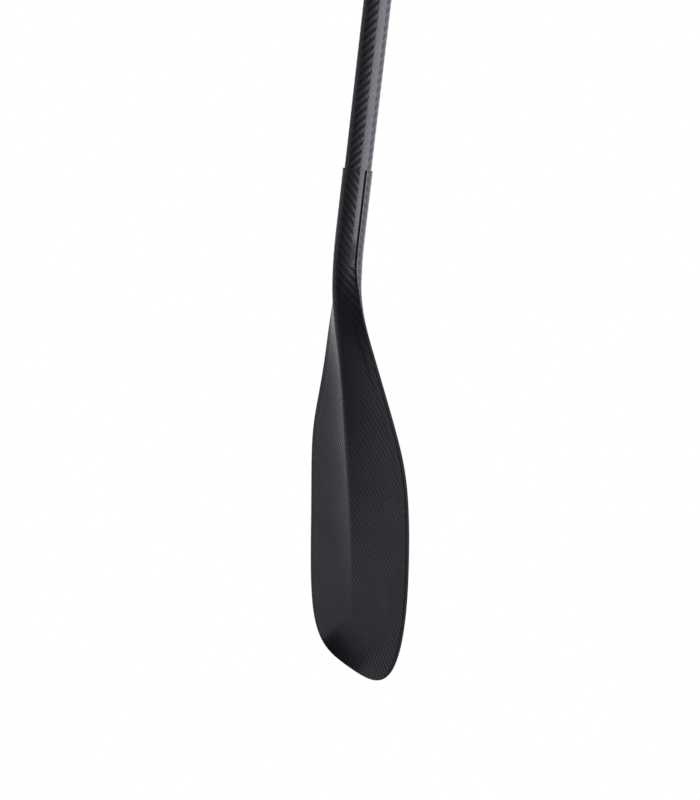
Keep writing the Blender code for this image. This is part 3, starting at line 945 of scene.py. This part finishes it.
def dress(piece, slot, nodes, *materials):
    for material in materials:
        piece.data.materials.append(material)
    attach(piece, "root")
    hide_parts(*nodes)


tube_cloth = carbon_twill("carbon_twill_tube_satin_resin", TUBE_SHEENS)
cloth = carbon_twill("carbon_twill_satin_resin", MOULDED_SHEENS)

# Black epoxy with milled fibre, cast in the seam: matte and nearly black. Its grain is really
# under 0.1 mm, and is drawn at 0.4 mm to show from close by
seam_epoxy = speckled(
    "epoxy_black_seam",
    "#181719",
    "#201F21",
    grain=EPOXY_GRAIN,
    roughness=EPOXY_ROUGHNESS,
    relief=EPOXY_RELIEF,
    specular=0.1,
)

# The same epoxy at the blade's rim, sanded flush: dark grey and matte, with the same grain
rim_epoxy = speckled(
    "epoxy_black_rim",
    "#353338",
    "#3E3C41",
    grain=EPOXY_GRAIN,
    roughness=EPOXY_ROUGHNESS,
    relief=EPOXY_RELIEF,
    specular=0.15,
)

# Cast polyurethane foam: cream and matte, with half-millimetre cells
foam = speckled(
    "polyurethane_foam_cream", "#C9BC8F", "#E4DAB4", grain=FOAM_CELL, roughness=0.9
)

# Planed red cedar: warm brown, with growth rings 1.1 mm wide that run down the blade
cedar = speckled(
    "red_cedar_planed",
    "#8A5735",
    "#C08A5A",
    grain=CEDAR_RING,
    roughness=0.6,
    stretch=(1.0, 1.0, 0.03),
)

# Unidirectional carbon sleeve inside the tube: near black, with streaks of 0.7 mm along it
spigot_carbon = speckled(
    "carbon_sleeve_unidirectional",
    "#131315",
    "#222226",
    grain=SLEEVE_STREAK,
    roughness=0.4,
    stretch=(1.0, 1.0, 0.02),
)

blade_coats = (cloth, seam_epoxy, rim_epoxy)
grip_coats = (cloth, seam_epoxy)
dress(blade_shell("power_face", 1), "blade_carbon", ["power_face_shell"], *blade_coats)
dress(blade_shell("back_face", -1), "blade_carbon", ["back_face_shell"], *blade_coats)
dress(shaft_piece(), "shaft_carbon", ["shaft_tube"], tube_cloth)
dress(grip_shell("grip_front", 1), "blade_carbon", ["grip_front_shell"], *grip_coats)
dress(grip_shell("grip_back", -1), "blade_carbon", ["grip_back_shell"], *grip_coats)

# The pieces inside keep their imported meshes
KEPT_FINISHES = {
    "shaft_plug": foam,
    "neck_core": foam,
    "blade_core_left": foam,
    "blade_core_right": foam,
    "grip_core": foam,
    "blade_spine": cedar,
    "edge_band": rim_epoxy,
    "grip_spigot": spigot_carbon,
}
for node, finish in KEPT_FINISHES.items():
    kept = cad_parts[node].data
    kept.materials.clear()
    kept.materials.append(finish)


def direction(azimuth, elevation):
    """From the object towards a camera or lamp: azimuth 0 is on the power face's side, 90 on +X."""
    turn, tilt = math.radians(azimuth), math.radians(elevation)
    flat = math.cos(tilt)
    return Vector((math.sin(turn) * flat, -math.cos(turn) * flat, math.sin(tilt)))


def set_up(place, facing, roll=0.0):
    """The matrix that puts a thing at a place with its +Z along facing, rolled about that."""
    turn = facing.to_track_quat("Z", "Y").to_matrix() @ Matrix.Rotation(math.radians(roll), 3, "Z")
    return Matrix.Translation(place) @ turn.to_4x4()


def add_camera():
    data = bpy.data.cameras.new("camera")
    data.lens = CAMERA_LENS_MM
    data.shift_x, data.shift_y = CAMERA_SHIFT
    camera = bpy.data.objects.new("camera", data)
    bpy.context.collection.objects.link(camera)
    back = direction(CAMERA_AZIMUTH, CAMERA_ELEVATION)
    camera.matrix_world = set_up(CAMERA_AIM + CAMERA_DISTANCE * back, back, CAMERA_ROLL)
    bpy.context.scene.camera = camera


def add_softbox():
    """One soft lamp, right of the camera. It draws the bright band down the shaft and the neck."""
    width, height = SOFTBOX_SIZE
    data = bpy.data.lights.new("softbox_right", "AREA")
    data.shape = "RECTANGLE"
    data.size, data.size_y = width, height
    data.energy = SOFTBOX_RADIANCE * math.pi * width * height
    data.color = LIGHT_TINT
    lamp = bpy.data.objects.new("softbox_right", data)
    bpy.context.collection.objects.link(lamp)
    facing = direction(CAMERA_AZIMUTH + SOFTBOX_AZIMUTH, SOFTBOX_ELEVATION)
    lamp.matrix_world = set_up(STUDIO_MIDDLE + SOFTBOX_DISTANCE * facing, facing)
    lamp.visible_camera = False


def lit_paper():
    """White paper that glows as DRUM_BRIGHTNESS says, by each spot's azimuth from the origin."""
    material, tree, shader = new_material("paper_white_lit")
    tree.nodes.remove(shader)
    place = add_node(tree, "ShaderNodeTexCoord").outputs["Object"]
    axes = add_node(tree, "ShaderNodeSeparateXYZ", Vector=place)
    towards_front = add_node(
        tree, "ShaderNodeMath", {"operation": "MULTIPLY"}, in_0=axes.outputs["Y"], in_1=-1.0
    ).outputs[0]
    azimuth = add_node(
        tree, "ShaderNodeMath", {"operation": "ARCTAN2"}, in_0=axes.outputs["X"], in_1=towards_front
    ).outputs[0]
    # Counted in whole turns from straight behind the object, as the camera sees it
    turns = add_node(
        tree,
        "ShaderNodeMath",
        {"operation": "MULTIPLY_ADD"},
        in_0=azimuth,
        in_1=1 / math.tau,
        in_2=1.5 - CAMERA_AZIMUTH / 360,
    ).outputs[0]
    share = add_node(tree, "ShaderNodeMath", {"operation": "FRACT"}, in_0=turns).outputs[0]
    ring = add_node(tree, "ShaderNodeValToRGB", Fac=share)
    stops = ring.color_ramp.elements
    while len(stops) > 1:
        stops.remove(stops[-1])
    for index, (angle, level) in enumerate(DRUM_BRIGHTNESS):
        spot = (angle + 180) / 360
        stop = stops[0] if index == 0 else stops.new(spot)
        stop.position = spot
        stop.color = [level * tint for tint in LIGHT_TINT] + [1.0]
    glow = add_node(tree, "ShaderNodeEmission", Color=ring.outputs["Color"], Strength=DRUM_STRENGTH)
    tree.links.new(glow.outputs["Emission"], tree.nodes["Material Output"].inputs["Surface"])
    return material


def painted_board():
    """Pale matte paint, which the camera, gloss and glass see as plain white."""
    material, tree, shader = new_material("painted_board_pale")
    shader.inputs["Base Color"].default_value = linear("#E6E6E6")
    shader.inputs["Roughness"].default_value = 0.9
    rays = add_node(tree, "ShaderNodeLightPath").outputs
    sharp = add_node(
        tree,
        "ShaderNodeMath",
        {"operation": "MAXIMUM"},
        in_0=rays["Is Glossy Ray"],
        in_1=rays["Is Transmission Ray"],
    ).outputs[0]
    seen = add_node(
        tree, "ShaderNodeMath", {"operation": "MAXIMUM"}, in_0=rays["Is Camera Ray"], in_1=sharp
    ).outputs[0]
    white = add_node(tree, "ShaderNodeEmission", Color=WHITE, Strength=1.0)
    choice = add_node(
        tree,
        "ShaderNodeMixShader",
        in_0=seen,
        in_1=shader.outputs["BSDF"],
        in_2=white.outputs["Emission"],
    )
    tree.links.new(choice.outputs["Shader"], tree.nodes["Material Output"].inputs["Surface"])
    return material


def black_velvet():
    """Cloth that swallows nearly all light."""
    material, tree, shader = new_material("cloth_black_flag")
    shader.inputs["Base Color"].default_value = linear("#3C3C3E")
    shader.inputs["Roughness"].default_value = 0.95
    return material


def add_stage_piece(name, bm, material, visible_camera):
    piece = add_piece(name, bm)
    piece.data.materials.append(material)
    piece.visible_camera = visible_camera


def add_drum():
    """A drum of lit paper round the studio, which only lights the object and shows in its gloss."""
    bm = bmesh.new()
    bmesh.ops.create_icosphere(bm, subdivisions=4, radius=DRUM_RADIUS)
    bmesh.ops.translate(bm, verts=bm.verts, vec=STUDIO_MIDDLE)
    add_stage_piece("drum", bm, lit_paper(), visible_camera=False)


def add_floor():
    """A pale board far below the hanging blade."""
    bm = bmesh.new()
    bmesh.ops.create_circle(bm, cap_ends=True, radius=FLOOR_RADIUS, segments=64)
    bmesh.ops.translate(bm, verts=bm.verts, vec=(0.0, 0.0, cad_box[0].z - FLOOR_DROP))
    add_stage_piece("floor", bm, painted_board(), visible_camera=True)


def add_flag():
    """A black flag under the blade, which keeps the tip's left corner dark."""
    bm = bmesh.new()
    bmesh.ops.create_grid(bm, x_segments=1, y_segments=1, size=0.5)
    bmesh.ops.scale(bm, verts=bm.verts, vec=(*FLAG_SIZE, 1.0))
    facing = -direction(FLAG_AZIMUTH, FLAG_ELEVATION)
    bmesh.ops.transform(bm, verts=bm.verts, matrix=set_up(FLAG_PLACE, facing, FLAG_ROLL))
    add_stage_piece("flag", bm, black_velvet(), visible_camera=False)


def add_white_world():
    """White all round, which the camera sees past the drum."""
    world = bpy.data.worlds.new("studio")
    bpy.context.scene.world = world
    world.use_nodes = True
    world.node_tree.nodes["Background"].inputs["Color"].default_value = WHITE


add_camera()
add_softbox()
add_drum()
add_white_world()
add_floor()
add_flag()

bpy.context.scene.view_settings.view_transform = "Standard"
